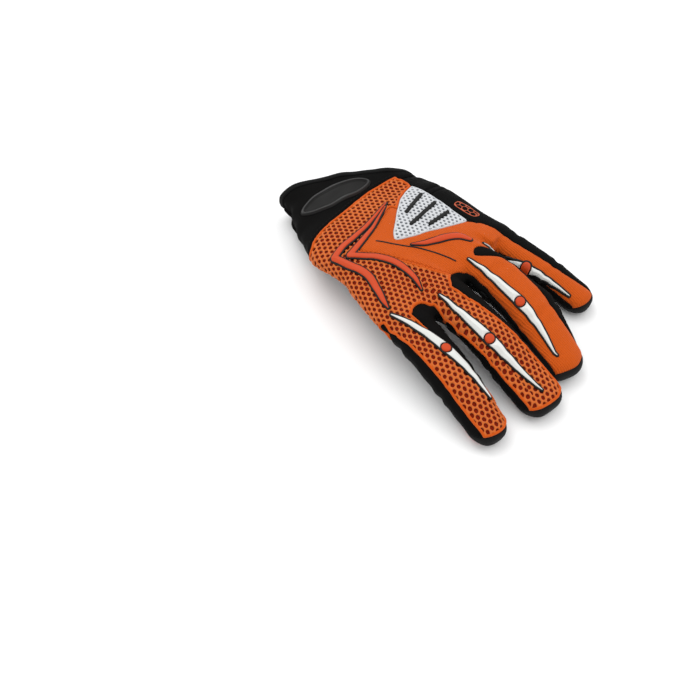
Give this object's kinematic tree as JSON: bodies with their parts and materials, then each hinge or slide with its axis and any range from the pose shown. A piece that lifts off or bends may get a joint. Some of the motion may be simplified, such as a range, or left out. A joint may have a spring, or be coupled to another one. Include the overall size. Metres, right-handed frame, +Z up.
{
  "type": "motocross glove",
  "caption": "Left-hand motocross glove lying palm down, with an air-mesh and knit back, moulded chevron ribs and bone-shaped finger guards.",
  "frame": {"origin": "middle of the bounding box's bottom face, on the surface the glove lies on", "axes": "+Y from the cuff to the fingertips, +Z up out of the back of the hand, +X to the index finger's side"},
  "size_m": [0.1414, 0.2452, 0.0414],
  "materials": {
    "black_neoprene": "matt black stretch neoprene",
    "binding_tape": "dark woven edge tape",
    "palm_leather": "matt black synthetic leather",
    "orange_mesh": "open air mesh",
    "orange_knit": "fine ribbed stretch knit",
    "white_panel": "fine woven pale panel",
    "black_rubber": "satin moulded rubber",
    "white_rubber": "satin moulded rubber",
    "orange_rubber": "satin moulded rubber",
    "badge_rubber": "satin moulded rubber",
    "tab_rubber": "satin moulded rubber"
  },
  "bodies": {
    "root": {"accent_bar": "orange_rubber", "back_knit_panel": "orange_knit", "back_mesh_panel": "orange_mesh", "badge_base": "badge_rubber", "badge_rim": "badge_rubber", "bone_base_index": "black_rubber", "bone_base_little": "black_rubber", "bone_base_middle": "black_rubber", "bone_base_ring": "black_rubber", "bone_dot_index": "orange_rubber", "bone_dot_little": "orange_rubber", "bone_dot_middle": "orange_rubber", "bone_dot_ring": "orange_rubber", "bone_front_index": "white_rubber", "bone_front_little": "white_rubber", "bone_front_middle": "white_rubber", "bone_front_ring": "white_rubber", "bone_rear_index": "white_rubber", "bone_rear_little": "white_rubber", "bone_rear_middle": "white_rubber", "bone_rear_ring": "white_rubber", "chevron_inner": "orange_rubber", "chevron_outer": "orange_rubber", "cuff": "black_neoprene", "cuff_binding": "binding_tape", "fingertip_grip_index": "orange_rubber", "fingertip_grip_middle": "orange_rubber", "fourchette_index_middle": "black_neoprene", "fourchette_middle_ring": "black_neoprene", "fourchette_ring_little": "black_neoprene", "index_side_panel": "black_neoprene", "little_side_panel": "black_neoprene", "palm_panel": "palm_leather", "panel_bar_1": "black_rubber", "panel_bar_2": "black_rubber", "panel_bar_3": "black_rubber", "strap_tab": "tab_rubber", "thumb_knit": "orange_knit", "thumb_patch": "orange_knit", "thumb_shell": "palm_leather", "white_panel": "white_panel", "wrist_strap": "black_neoprene"}
  },
  "joints": []
}
